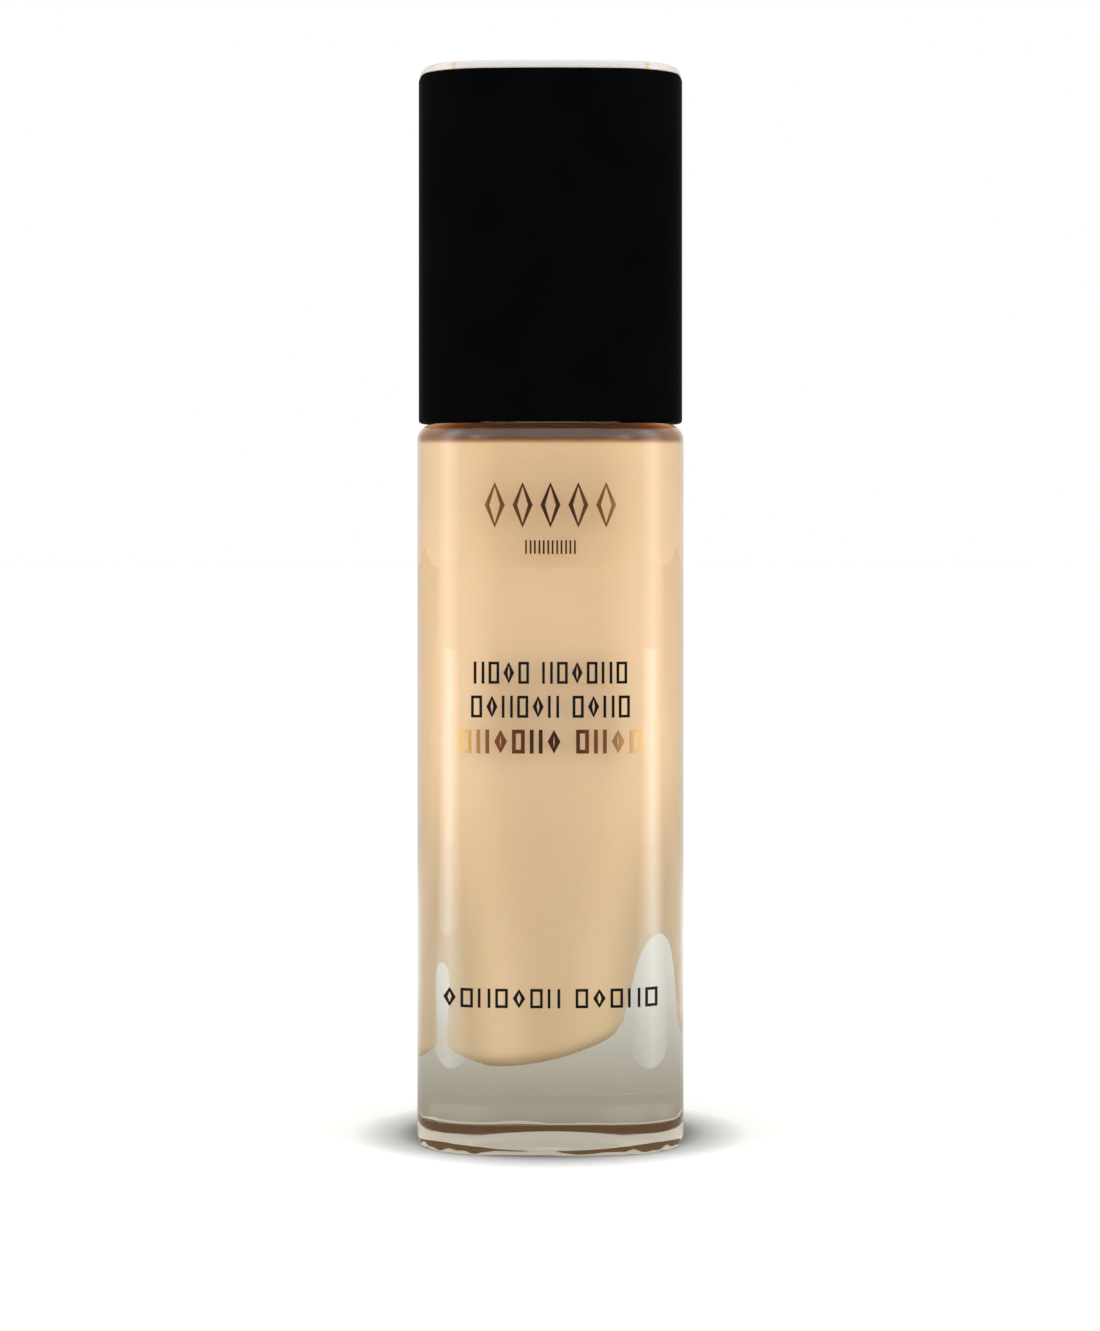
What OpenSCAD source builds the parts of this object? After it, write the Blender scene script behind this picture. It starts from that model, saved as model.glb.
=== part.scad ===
// Square glass foundation bottle with a screw-on treatment pump under a tall lift-off overcap.
// Origin: centre of the underside. +Z is up, the printed front faces -Y. Millimetres.

/* [Glass bottle] */
// Width and depth of the glass body
body_w = 30; // [29:0.5:33]
// Height of the glass body up to its flat shoulder
body_h = 80; // [78:1:95]
// Radius of the upright corners of the glass
corner_r = 8; // [7:0.5:9]
// Radius of the slight outward bow of each glass face
face_r = 60; // [50:5:90]
// Thickness of the glass walls
wall_t = 2.5; // [2:0.1:3.2]
// Thickness of the glass base under the cavity
base_t = 9.6; // [6:0.2:12]
// Radius of the rounded shoulder edge
shoulder_r = 1.8; // [0.8:0.1:2.2]
// Radius of the rounded heel edge
heel_r = 1; // [0.4:0.1:1.6]

/* [Neck and closure] */
// Radius of the plain neck under its thread
neck_r = 7.95; // [7.8:0.05:8]
// Height of the neck above the shoulder
neck_h = 13; // [12:0.5:14]
// Rise of the thread in one turn
thread_pitch = 3.175; // [3:0.025:3.3]
// Radius of the metal sleeve over the screw collar
sleeve_r = 10.2; // [10.1:0.05:10.4]

/* [Pump] */
// Stroke of the pump head
stroke = 4; // [3:0.25:4.25]
// Lost motion between the valve rod and the piston
slip = 0.8; // [0.5:0.1:1]
// Radius of the pump chamber
chamber_r = 3.4; // [3.3:0.05:3.5]
// Radius of the actuator
actuator_r = 6.6; // [6:0.1:6.7]
// Height of the actuator
actuator_h = 11.6; // [10:0.2:12]

/* [Overcap] */
// Width and depth of the overcap
cap_w = 29.7; // [29:0.1:30]
// Height of the overcap shell
cap_h = 38.6; // [37.5:0.1:42]
// Wall thickness of the overcap shell
cap_t = 1.5; // [1.2:0.1:1.6]
// Gap between the shoulder and the closed overcap
cap_gap = 0.1; // [0.1:0.1:0.8]
// Thickness of the clear plate on top of the overcap
plate_t = 0.95; // [0.8:0.05:1.5]

/* [Print] */
// Thickness of the printed ink and foil
ink_t = 0.06; // [0.04:0.01:0.1]

/* [Hidden] */
$fn = 64;

// Clearances
fill_gap = 0.05;
slide_gap = 0.05;
seal_gap = 0.02;

// Glass. Every soft square has the same distance between the centres of its face and corner arcs.
arc_span = face_r - corner_r;
face_steps = 4;
corner_steps = 8;
body_half = body_w / 2;
cavity_r = 7.6;
cavity_spread = body_half - wall_t - cavity_r;
shoulder_t = 1.8;
roof_z = body_h - shoulder_t;
waist_spread = 0.2;
waist_z = 18;
flare_z = 46;
push_up_r = 9;
push_up_h = 0.7;
neck_top = body_h + neck_h;
bore_r = 5;

// Thread
thread_depth = 0.9;
ridge_root_w = 2.4;
ridge_crest_w = 0.8;
thread_z = neck_top - 7.2;
neck_turns = 1.5;
collar_turns = 1.25;
embed = 0.5;

// Pump levels, from the sealing face on the neck upwards
gasket_t = 1;
flange_z = neck_top + gasket_t;
flange_t = 1.4;
flange_r = neck_r + 0.1;
flange_top = flange_z + flange_t;
housing_r = 4.6;
tail_r = 2.6;
tail_bottom = flange_z - 32;
tail_top = flange_z - 25.5;
ledge_z = flange_z - 20.8;
ball_r = 1.2;
pocket_r = 1.45;
throat_r = 0.75;
seat_z = ledge_z - 3.9;
foot_z = ledge_z + stroke + 4.8;
foot_t = 0.98;
foot_r = 2.9;
rod_r = 1.2;
guide_r = 2;
piston_z = foot_z + foot_t + seal_gap;
piston_h = 4.4;
stem_r = 1.9;
stem_bore = 1.4;
stem_z = piston_z + piston_h + slip + slide_gap;
stop_r = 2.6;
stop_t = 1.15;
chaplet_z = stem_z + stop_t + slide_gap;
chaplet_flange_r = 6.4;
chaplet_top = flange_top + 1;
wire_r = 0.25;
coil_r = 2.5;
coil_turns = 7;
tube_r = 1.5;
tube_bore = 0.9;
tube_bottom = base_t + 2;
tube_top = tail_bottom + 5.9;

// Collar and actuator
collar_r = sleeve_r - 0.35;
collar_root_r = neck_r + thread_depth + 0.2;
collar_crest_r = neck_r + 0.2;
collar_bottom = body_h + 1.2;
deck_z = flange_top + slide_gap;
deck_t = 1.75;
sleeve_t = 0.32;
sleeve_deck_z = deck_z + deck_t + slide_gap;
tower_r = actuator_r + 0.3;
actuator_z = chaplet_top + stroke + 0.4;
tower_top = actuator_z + 0.8;
actuator_top = actuator_z + actuator_h;
nozzle_z = actuator_z + 7.8;
nozzle_r = 1.7;
nozzle_reach = sleeve_r - 0.6;
stem_top = actuator_z + 6;

// Overcap
cap_z = body_h + cap_gap;
cap_top = cap_z + cap_h;
cap_half = cap_w / 2;
cap_r = corner_r - body_half + cap_half;
liner_r = sleeve_r + slide_gap;
liner_t = 0.8;
liner_top = tower_top - 1.4;
foil_half = 11;
foil_r = 5;
foil_t = 0.1;
foil_pocket = 0.12;
plate_edge = 2.2;

// Points along an arc or quarter ellipse about (x, y)
function arc(x, y, rx, ry, from, to, steps = 6) =
    [for (i = [0:steps]) let (a = from + (to - from) * i / steps) [x + rx * cos(a), y + ry * sin(a)]];

// Outline of a soft square: four bowed faces that run into round corners. Each face stands
// spread + d from the middle, and each corner has the radius d.
function soft_ring(spread, d, z) =
    let (bow = 45 - asin((arc_span - spread) / arc_span / sqrt(2)),
         centre = arc_span * sin(bow),
         face = arc(spread - arc_span, 0, arc_span + d, arc_span + d, -bow, bow, face_steps),
         corner = arc(centre, centre, d, d, bow, 90 - bow, corner_steps))
    [for (turn = [0:90:270], p = concat(open_end(face), open_end(corner)))
        [p[0] * cos(turn) - p[1] * sin(turn), p[0] * sin(turn) + p[1] * cos(turn), z]];

// A list without its last point
function open_end(points) = [for (i = [0:len(points) - 2]) points[i]];

// Closed skin over rings of equal length, listed from the bottom up and counter-clockwise
module skin(rings) {
    n = len(rings[0]);
    last = n * (len(rings) - 1);
    sides = [for (i = [0:len(rings) - 2], k = [0:n - 1])
        let (a = n * i + k, b = n * i + (k + 1) % n)
        for (face = [[a, a + n, b + n], [a, b + n, b]]) face];
    ends = [[for (k = [0:n - 1]) k], [for (k = [0:n - 1]) last + n - 1 - k]];
    polyhedron([for (ring = rings, point = ring) point], concat(sides, ends), convexity = 6);
}

// Soft-square solid whose edge follows a profile of [distance out from the corner centres, height]
module soft_block(half, profile) {
    spread = half - max([for (p = profile) p[0]]);
    skin([for (p = profile) soft_ring(spread, p[0], p[1])]);
}

// Upright profile with straight walls and small rounded edges
function slab_profile(reach, low, high, low_r = 0, high_r = 0) = concat(
    low_r > 0 ? arc(reach - low_r, low + low_r, low_r, low_r, -90, 0, 4) : [[reach, low]],
    high_r > 0 ? arc(reach - high_r, high - high_r, high_r, high_r, 0, 90) : [[reach, high]]);

// The cavity, or its contents a gap smaller: a rounded floor, a nearly round waist above the thick
// base, a flare out to a soft square, straight walls and a rounded roof
module cavity_block(gap) {
    floor_r = 3;
    roof_r = 1.6;
    skin(concat(
        [for (p = arc(cavity_r - floor_r, base_t + floor_r, floor_r - gap, floor_r - gap, -90, 0))
            soft_ring(waist_spread, p[0], p[1])],
        [for (i = [0:10]) let (t = i / 10, widening = (1 - cos(180 * t)) / 2)
            soft_ring(waist_spread + (cavity_spread - waist_spread) * widening, cavity_r - gap,
                      waist_z + (flare_z - waist_z) * t)],
        [for (p = arc(cavity_r - roof_r, roof_z - roof_r, roof_r - gap, roof_r - gap, 0, 90))
            soft_ring(cavity_spread, p[0], p[1])]));
}

// Thread ridge wound round +Z. It fades in and out under the skin it grows from.
module helical_ridge(root, crest, surface, z, turns) {
    steps = round(turns * 36);
    fade = 4;
    under = surface + (root - surface) * 0.1;
    flank = [-ridge_root_w, ridge_root_w, ridge_crest_w, -ridge_crest_w] / 2;
    order = crest > root ? [0, 1, 2, 3] : [0, 3, 2, 1];
    skin([for (i = [0:steps])
        let (a = 360 * turns * i / steps,
             rise = z + thread_pitch * turns * i / steps,
             tip = under + (crest - under) * min(1, i / fade, (steps - i) / fade))
        [for (k = order)
            let (r = k < 2 ? root : tip)
            [r * cos(a), r * sin(a), rise + flank[k]]]]);
}

// Ring or tube about +Z
module tube(outer, inner, low, high) {
    difference() {
        translate([0, 0, low]) cylinder(r = outer, h = high - low);
        translate([0, 0, low - 1]) cylinder(r = inner, h = high - low + 2);
    }
}

module glass_bottle() {
    push_up_sphere = (push_up_r * push_up_r + push_up_h * push_up_h) / (2 * push_up_h);
    color([0.93, 0.91, 0.86, 0.35]) difference() {
        union() {
            soft_block(body_half, slab_profile(corner_r, 0, body_h, heel_r, shoulder_r));
            translate([0, 0, body_h - 1]) cylinder(r = neck_r, h = neck_h + 1);
            helical_ridge(neck_r - embed, neck_r + thread_depth, neck_r, thread_z, neck_turns);
        }
        cavity_block(0);
        translate([0, 0, roof_z - 1]) cylinder(r = bore_r, h = neck_top - roof_z + 2);
        translate([0, 0, push_up_h - push_up_sphere]) sphere(r = push_up_sphere, $fn = 128);
    }
}

module foundation_fill() {
    color([0.86, 0.70, 0.53]) difference() {
        cavity_block(fill_gap);
        translate([0, 0, tube_bottom - 0.6]) cylinder(r = tube_r + 0.1, h = body_h);
        translate([0, 0, tail_bottom - 0.2]) cylinder(r = tail_r + 0.1, h = body_h);
        translate([0, 0, tail_top - 0.2]) cylinder(r = housing_r + 0.1, h = body_h);
    }
}

// One abstract ornament: a framed box, a pair of bars or an open lozenge
module mark(kind, w, h, line_w) {
    if (kind == 0)
        difference() {
            square([w, h], center = true);
            square([w - 2 * line_w, h - 2 * line_w], center = true);
        }
    if (kind == 1)
        for (side = [-1, 1])
            translate([side * (w - line_w) / 2, 0]) square([line_w, h], center = true);
    if (kind == 2)
        difference() {
            polygon([[-w / 2, 0], [0, -h / 2], [w / 2, 0], [0, h / 2]]);
            polygon([[-w / 2 + 1.5 * line_w, 0], [0, -h / 2 + 1.5 * line_w],
                     [w / 2 - 1.5 * line_w, 0], [0, h / 2 - 1.5 * line_w]]);
        }
}

// Row of ornaments in a thin skin on the front of the glass. Groups holds how many stand together
// on each side of a space.
module mark_row(z, width, height, groups, line_w, kinds) {
    count = len(groups) == 1 ? groups[0] : groups[0] + groups[1];
    pitch = width / (count + (len(groups) - 1) * 0.6);
    low = z - height;
    high = z + height;
    difference() {
        intersection() {
            soft_block(body_half + ink_t, slab_profile(corner_r + ink_t, low, high));
            translate([0, -4, z]) rotate([90, 0, 0]) linear_extrude(body_w)
                for (i = [0:count - 1])
                    translate([-width / 2 + pitch * (i + 0.5 + (i >= groups[0] ? 0.6 : 0)), 0])
                        mark(kinds[i % len(kinds)], pitch * 0.72, height, line_w);
        }
        soft_block(body_half, slab_profile(corner_r, low - 1, high + 1));
    }
}

module gold_print() {
    color([0.62, 0.45, 0.22]) {
        mark_row(71, 15.2, 5, [5], 0.34, [2]);
        mark_row(66.4, 5.8, 1.5, [6], 0.2, [1]);
        mark_row(45.2, 20.6, 2.6, [6, 4], 0.42, [0, 1, 2]);
    }
}

module black_print() {
    color([0.06, 0.05, 0.05]) {
        mark_row(52.7, 17.2, 2.4, [4, 6], 0.3, [1, 0, 2, 0]);
        mark_row(49, 17.8, 2.4, [6, 4], 0.3, [0, 2, 1]);
        mark_row(17.2, 24, 2.1, [7, 5], 0.3, [2, 0, 1, 0]);
    }
}

module neck_gasket() {
    color("white") tube(neck_r - 0.05, housing_r + 0.3, neck_top, flange_z);
}

module pump_housing() {
    color([0.93, 0.93, 0.90]) rotate_extrude() polygon([
        [tube_r + seal_gap, tail_bottom], [tail_r, tail_bottom], [tail_r, tail_top], [housing_r, tail_top],
        [housing_r, flange_z], [flange_r, flange_z], [flange_r, flange_top], [chamber_r, flange_top],
        [chamber_r, ledge_z], [pocket_r, ledge_z], [pocket_r, seat_z + pocket_r - throat_r],
        [throat_r, seat_z], [throat_r, tube_top + 0.1], [tube_r + seal_gap, tube_top + 0.1]]);
}

module dip_tube() {
    color([0.95, 0.95, 0.93]) difference() {
        tube(tube_r, tube_bore, tube_bottom, tube_top);
        translate([0, 0, tube_bottom]) rotate([0, 35, 0]) translate([-5, -5, -10]) cube([10, 10, 10]);
    }
}

module inlet_ball() {
    rest_z = seat_z - throat_r + ball_r * sqrt(2) + seal_gap;
    color("silver") translate([0, 0, rest_z]) sphere(r = ball_r);
}

// Round wire wound as a plain compression spring between its two seats
module main_spring() {
    sides = 8;
    steps = coil_turns * 20;
    low = ledge_z + wire_r + seal_gap;
    high = foot_z - wire_r - seal_gap;
    color("silver") skin([for (i = [0:steps])
        let (a = 360 * coil_turns * i / steps, z = low + (high - low) * i / steps)
        [for (k = [0:sides - 1])
            let (b = 360 * k / sides, r = coil_r + wire_r * cos(b))
            [r * cos(a), r * sin(a), z - wire_r * sin(b)]]]);
}

module piston() {
    lip_r = chamber_r - seal_gap;
    waist_r = chamber_r - 0.35;
    port_r = rod_r + 0.55;
    color([0.9, 0.9, 0.86]) rotate_extrude() translate([0, piston_z]) polygon([
        [port_r, 0], [lip_r - 0.25, 0], [lip_r, 0.3], [lip_r, 0.9], [waist_r, 1.3],
        [waist_r, piston_h - 1.3], [lip_r, piston_h - 0.9], [lip_r, piston_h - 0.3],
        [lip_r - 0.25, piston_h], [port_r, piston_h]]);
}

module valve_rod() {
    plug_h = 4;
    fin_t = 0.7;
    color([0.92, 0.92, 0.9]) {
        translate([0, 0, foot_z - 2.5]) cylinder(r = guide_r, h = 2.5);
        translate([0, 0, foot_z]) cylinder(r = foot_r, h = foot_t);
        translate([0, 0, foot_z + foot_t]) cylinder(r = rod_r, h = stem_z - foot_z - foot_t);
        intersection() {
            translate([0, 0, stem_z]) cylinder(r = stem_bore - seal_gap, h = plug_h);
            for (turn = [0, 90])
                rotate(turn) translate([-2, -fin_t / 2, stem_z]) cube([4, fin_t, plug_h]);
        }
    }
}

module stem() {
    color([0.92, 0.92, 0.9]) difference() {
        union() {
            translate([0, 0, stem_z]) cylinder(r = stem_r, h = stem_top - stem_z);
            translate([0, 0, stem_z]) cylinder(r = stop_r, h = stop_t);
        }
        translate([0, 0, stem_z - 1]) cylinder(r = stem_bore, h = stem_top - stem_z + 2);
    }
}

module chaplet() {
    color([0.94, 0.94, 0.92]) difference() {
        union() {
            translate([0, 0, chaplet_z]) cylinder(r = chamber_r - slide_gap, h = chaplet_top - chaplet_z);
            translate([0, 0, flange_top]) cylinder(r = chaplet_flange_r, h = chaplet_top - flange_top);
        }
        translate([0, 0, chaplet_z - 1]) cylinder(r = stem_r + slide_gap, h = chaplet_top - chaplet_z + 2);
    }
}

module screw_collar() {
    color([0.08, 0.08, 0.08]) {
        difference() {
            translate([0, 0, collar_bottom]) cylinder(r = collar_r, h = deck_z + deck_t - collar_bottom);
            translate([0, 0, collar_bottom - 1])
                cylinder(r = collar_root_r, h = neck_top - collar_bottom + 1.2);
            translate([0, 0, collar_bottom]) cylinder(r = flange_r + 0.1, h = deck_z - collar_bottom);
            translate([0, 0, deck_z - 1]) cylinder(r = tower_r, h = deck_t + 2);
        }
        helical_ridge(collar_root_r + embed, collar_crest_r, collar_root_r, thread_z - thread_pitch / 2,
                      collar_turns);
    }
}

module collar_sleeve() {
    low = collar_bottom - 0.2;
    color([0.83, 0.66, 0.38]) rotate_extrude() polygon(concat(
        [[collar_r + 0.03, low], [sleeve_r, low]],
        arc(sleeve_r - 0.5, sleeve_deck_z + sleeve_t - 0.5, 0.5, 0.5, 0, 90),
        [[tower_r + 0.4, sleeve_deck_z + sleeve_t], [tower_r + 0.4, tower_top], [tower_r, tower_top],
         [tower_r, sleeve_deck_z], [collar_r + 0.03, sleeve_deck_z]]));
}

module actuator() {
    dish_r = 5.4;
    dish_h = 0.6;
    dish_sphere = (dish_r * dish_r + dish_h * dish_h) / (2 * dish_h);
    skirt_t = 1;
    boss_r = 3;
    roof = 4.4;
    color([0.06, 0.06, 0.06]) difference() {
        rotate_extrude() polygon(concat(
            [[0, actuator_z], [actuator_r, actuator_z]],
            arc(actuator_r - 0.8, actuator_top - 0.8, 0.8, 0.8, 0, 90),
            [[0, actuator_top]]));
        tube(actuator_r - skirt_t, boss_r, actuator_z - 1, actuator_z + roof);
        translate([0, 0, actuator_z - 1]) cylinder(r = stem_r + seal_gap, h = stem_top - actuator_z + 1.2);
        translate([0, 0, stem_top]) cylinder(r = 1, h = nozzle_z - stem_top);
        translate([0, 0, nozzle_z]) rotate([90, 0, 0]) cylinder(r = 1, h = 3.4);
        translate([0, -3.3, nozzle_z]) rotate([90, 0, 0]) cylinder(r = nozzle_r + seal_gap, h = 5);
        translate([0, 0, actuator_top + dish_sphere - dish_h]) sphere(r = dish_sphere, $fn = 128);
    }
}

module nozzle_insert() {
    color([0.83, 0.66, 0.38]) translate([0, -3.35, nozzle_z]) rotate([90, 0, 0])
        rotate_extrude() polygon(concat(
            [[0.6, 0], [nozzle_r, 0]],
            arc(nozzle_r - 0.4, nozzle_reach - 3.75, 0.4, 0.4, 0, 90, 4),
            [[0.6, nozzle_reach - 3.35]]));
}

module cap_shell() {
    color([0.05, 0.05, 0.05]) difference() {
        soft_block(cap_half, slab_profile(cap_r, cap_z, cap_top, 0.3, 0.25));
        soft_block(cap_half - cap_t, slab_profile(cap_r - cap_t, cap_z - 1, cap_top - cap_t, 0, 1));
        soft_block(foil_half + slide_gap, slab_profile(foil_r, cap_top - foil_pocket, cap_top + 1));
    }
}

module cap_liner() {
    low = cap_z + 0.6;
    flange_h = 1.2;
    rib_t = 1.2;
    inset = cap_t + slide_gap;
    rib_start = liner_r + 0.2;
    color([0.12, 0.12, 0.12]) difference() {
        union() {
            soft_block(cap_half - inset, slab_profile(cap_r - inset, low, low + flange_h));
            translate([0, 0, low]) cylinder(r = liner_r + liner_t, h = liner_top - low);
            for (turn = [0:90:270])
                rotate(turn) translate([rib_start, -rib_t / 2, low])
                    cube([cap_half - inset - 0.02 - rib_start, rib_t, liner_top - low - 2]);
        }
        translate([0, 0, low - 1]) cylinder(r = liner_r, h = liner_top - low + 2);
    }
}

module cap_foil() {
    low = cap_top - foil_pocket;
    color([0.83, 0.66, 0.38])
        soft_block(foil_half, slab_profile(foil_r, low, low + foil_t));
}

module cap_top_plate() {
    inset = 0.1;
    reach = cap_r - inset;
    color([0.95, 0.92, 0.90, 0.5]) soft_block(cap_half - inset, concat(
        [[reach, cap_top]],
        arc(reach - plate_edge, cap_top + 0.15, plate_edge, plate_t - 0.15, 0, 90)));
}

glass_bottle();
foundation_fill();
gold_print();
black_print();
neck_gasket();
pump_housing();
dip_tube();
inlet_ball();
main_spring();
piston();
valve_rod();
stem();
chaplet();
screw_collar();
collar_sleeve();
actuator();
nozzle_insert();
cap_shell();
cap_liner();
cap_foil();
cap_top_plate();
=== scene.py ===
import math

import bmesh
import bpy
from mathutils import Matrix, Vector


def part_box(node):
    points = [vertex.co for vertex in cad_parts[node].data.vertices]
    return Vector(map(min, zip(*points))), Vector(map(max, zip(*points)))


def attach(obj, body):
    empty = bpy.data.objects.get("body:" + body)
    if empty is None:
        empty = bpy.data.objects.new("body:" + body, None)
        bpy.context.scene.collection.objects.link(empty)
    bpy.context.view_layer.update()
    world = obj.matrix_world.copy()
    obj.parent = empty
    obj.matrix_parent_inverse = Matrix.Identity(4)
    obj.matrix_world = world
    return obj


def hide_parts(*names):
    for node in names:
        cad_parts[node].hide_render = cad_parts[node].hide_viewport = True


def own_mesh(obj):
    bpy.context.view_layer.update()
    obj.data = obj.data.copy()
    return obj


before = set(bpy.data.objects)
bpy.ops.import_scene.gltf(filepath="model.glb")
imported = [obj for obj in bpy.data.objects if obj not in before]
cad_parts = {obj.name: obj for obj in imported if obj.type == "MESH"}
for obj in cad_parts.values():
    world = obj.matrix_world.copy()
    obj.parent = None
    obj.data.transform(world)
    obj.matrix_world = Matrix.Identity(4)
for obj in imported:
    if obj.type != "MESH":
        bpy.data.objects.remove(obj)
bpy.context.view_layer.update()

MM = 0.001

# Corners of the CAD pieces' boxes, in metres
GLASS_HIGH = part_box("glass_bottle")[1]
SHELL_LOW, SHELL_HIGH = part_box("cap_shell")
PLATE_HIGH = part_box("cap_top_plate")[1]
FOIL_LOW, FOIL_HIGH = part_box("cap_foil")
LINER_LOW, LINER_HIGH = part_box("cap_liner")
SLEEVE_LOW, SLEEVE_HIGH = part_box("collar_sleeve")
PRESS_LOW, PRESS_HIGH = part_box("actuator")
NOZZLE_LOW, NOZZLE_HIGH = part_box("nozzle_insert")
TUBE_LOW, TUBE_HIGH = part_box("dip_tube")
HOUSING_LOW, HOUSING_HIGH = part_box("pump_housing")
SPRING_LOW, SPRING_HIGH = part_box("main_spring")

# Sizes in millimetres from those boxes
BODY_HALF = GLASS_HIGH.x / MM
NECK_TOP = GLASS_HIGH.z / MM
CAP_HALF = SHELL_HIGH.x / MM
CAP_BASE = SHELL_LOW.z / MM
CAP_TOP = SHELL_HIGH.z / MM
PLATE_HALF = PLATE_HIGH.x / MM
PLATE_TOP = PLATE_HIGH.z / MM
FOIL_HALF = FOIL_HIGH.x / MM
SLEEVE_R = SLEEVE_HIGH.x / MM
SLEEVE_BASE = SLEEVE_LOW.z / MM
TOWER_TOP = SLEEVE_HIGH.z / MM
PRESS_R = PRESS_HIGH.x / MM
PRESS_BASE = PRESS_LOW.z / MM
PRESS_TOP = PRESS_HIGH.z / MM
NOZZLE_Z = (NOZZLE_LOW.z + NOZZLE_HIGH.z) / 2 / MM
NOZZLE_R = NOZZLE_HIGH.x / MM

# Glass outside: a soft square of bowed faces and round corners, under a small gap to the overcap
CORNER_R = 8
FACE_R = 60
ARC_SPAN = FACE_R - CORNER_R
SPREAD = BODY_HALF - CORNER_R
CAP_GAP = 0.1
SHOULDER_Z = CAP_BASE - CAP_GAP
SHOULDER_R = 1.8
SHOULDER_T = 1.8
HEEL_R = 0.5
HEEL_WAVES = ((0.35, 13, 1), (0.25, 29, 2))
PUSH_UP_R = 9
PUSH_UP_H = 0.7

# Cavity: straight walls above, a leaning bowl with a narrow waist below
WALL = 2.5
CAVITY_R = 7.6
CAVITY_SPREAD = BODY_HALF - WALL - CAVITY_R
WAIST_SPREAD = 0.4
WAIST_SHIFT = -0.1
FLOOR_Z = 9.6
FLOOR_SLANT = 0.21
FLOOR_CURVE = 0.009
BOWL_TOP = 25
BOWL_DEPTH = 10
BOWL_PINCH = 0.07
PINCH_START = -3
PINCH_SPAN = 8
WAIST_Z = 18
FLARE_Z = 46
ROOF_Z = SHOULDER_Z - SHOULDER_T

# Neck and its thread
NECK_R = 7.95
BORE_R = 5
THREAD_PITCH = 3.175
THREAD_DEPTH = 0.9
THREAD_START = NECK_TOP - 7.2
THREAD_TURNS = 1.5
RIDGE_HALF = 1.05
FLANK_W = 0.65

# Overcap and pump
CAP_WALL = 1.5
HOUSING_R = 4.6
TAIL_R = 2.6
TAIL_DEPTH = 26.9


# ---------------------------------------------------------------- outlines and meshes

def arc(x, y, rx, ry, start, end, steps=8):
    """Points along an arc or quarter ellipse about (x, y), angles in degrees."""
    points = []
    for i in range(steps + 1):
        a = math.radians(start + (end - start) * i / steps)
        points.append((x + rx * math.cos(a), y + ry * math.sin(a)))
    return points


def rounded(corners, steps=6):
    """An open outline of (x, y, radius) corners with each inner corner rounded."""
    points = [tuple(corners[0][:2])]
    for before, here, after in zip(corners, corners[1:], corners[2:]):
        p = Vector(here[:2])
        radius = here[2]
        if radius <= 0:
            points.append(tuple(p))
            continue
        u = (Vector(before[:2]) - p).normalized()
        v = (Vector(after[:2]) - p).normalized()
        half = u.angle(v) / 2
        centre = p + (u + v).normalized() * (radius / math.sin(half))
        start = p + u * (radius / math.tan(half)) - centre
        end = p + v * (radius / math.tan(half)) - centre
        sweep = start.angle_signed(end)
        for i in range(steps + 1):
            turned = start.copy()
            turned.rotate(Matrix.Rotation(-sweep * i / steps, 2))
            points.append(tuple(centre + turned))
    points.append(tuple(corners[-1][:2]))
    return points


def plan_angles(spread, face_steps=10, corner_steps=20):
    """Normal angles over one quarter of a soft square, and its corner's centre."""
    bow = math.pi / 4 - math.asin((ARC_SPAN - spread) / ARC_SPAN / math.sqrt(2))
    face = [-bow + 2 * bow * i / face_steps for i in range(face_steps)]
    corner = [bow + (math.pi / 2 - 2 * bow) * i / corner_steps for i in range(corner_steps)]
    return face, corner, ARC_SPAN * math.sin(bow)


def soft_ring(spread, d, z):
    """A soft square, spread + d from its middle to each bowed face, with corners of radius d."""
    face, corner, centre = plan_angles(spread)
    face_centre = spread - ARC_SPAN
    face_r = ARC_SPAN + d
    quarter = [(face_centre + face_r * math.cos(a), face_r * math.sin(a)) for a in face]
    quarter += [(centre + d * math.cos(a), centre + d * math.sin(a)) for a in corner]
    turns = [(math.cos(turn * math.pi / 2), math.sin(turn * math.pi / 2)) for turn in range(4)]
    return [(x * c - y * s, x * s + y * c, z) for c, s in turns for x, y in quarter]


# The directions of a soft square's points, so that a round ring joins it point for point
RING_ANGLES = [turn * math.pi / 2 + a
               for turn in range(4) for a in plan_angles(SPREAD)[0] + plan_angles(SPREAD)[1]]


def round_ring(r, z):
    """A circle with as many points as a soft square."""
    return [(r * math.cos(a), r * math.sin(a), z) for a in RING_ANGLES]


def mixed_ring(a, b, t):
    """The ring a share t of the way from ring a to ring b."""
    return [tuple(p[i] + (q[i] - p[i]) * t for i in range(3)) for p, q in zip(a, b)]


def clamped(value):
    return max(0, min(1, value))


def eased(t):
    """0 to 1 with a soft start and end."""
    return t * t * (3 - 2 * t)


def skin(name, rings, wrap=False):
    """A smooth closed mesh over rings in millimetres, its ends closed at their middles or on each other."""
    n = len(rings[0])
    vertices = [Vector(p) * MM for ring in rings for p in ring]
    faces = []
    bands = len(rings) if wrap else len(rings) - 1
    for i in range(bands):
        a, b = i * n, (i + 1) % len(rings) * n
        faces += [(a + k, a + (k + 1) % n, b + (k + 1) % n, b + k) for k in range(n)]
    if not wrap:
        for start in (0, (len(rings) - 1) * n):
            middle = sum(vertices[start:start + n], Vector()) / n
            vertices.append(middle)
            faces += [(start + k, start + (k + 1) % n, len(vertices) - 1) for k in range(n)]
    mesh = bpy.data.meshes.new(name)
    mesh.from_pydata(vertices, [], faces)
    bm = bmesh.new()
    bm.from_mesh(mesh)
    bmesh.ops.recalc_face_normals(bm, faces=bm.faces)
    bm.to_mesh(mesh)
    bm.free()
    for polygon in mesh.polygons:
        polygon.use_smooth = True
    piece = bpy.data.objects.new(name, mesh)
    bpy.context.scene.collection.objects.link(piece)
    return piece


def lathe(name, outline, segments=128):
    """A closed outline of (radius, height) turned about +Z."""
    turn = 2 * math.pi / segments
    rings = [[(r * math.cos(turn * k), r * math.sin(turn * k), z) for k in range(segments)]
             for r, z in outline]
    return skin(name, rings, wrap=True)


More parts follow.
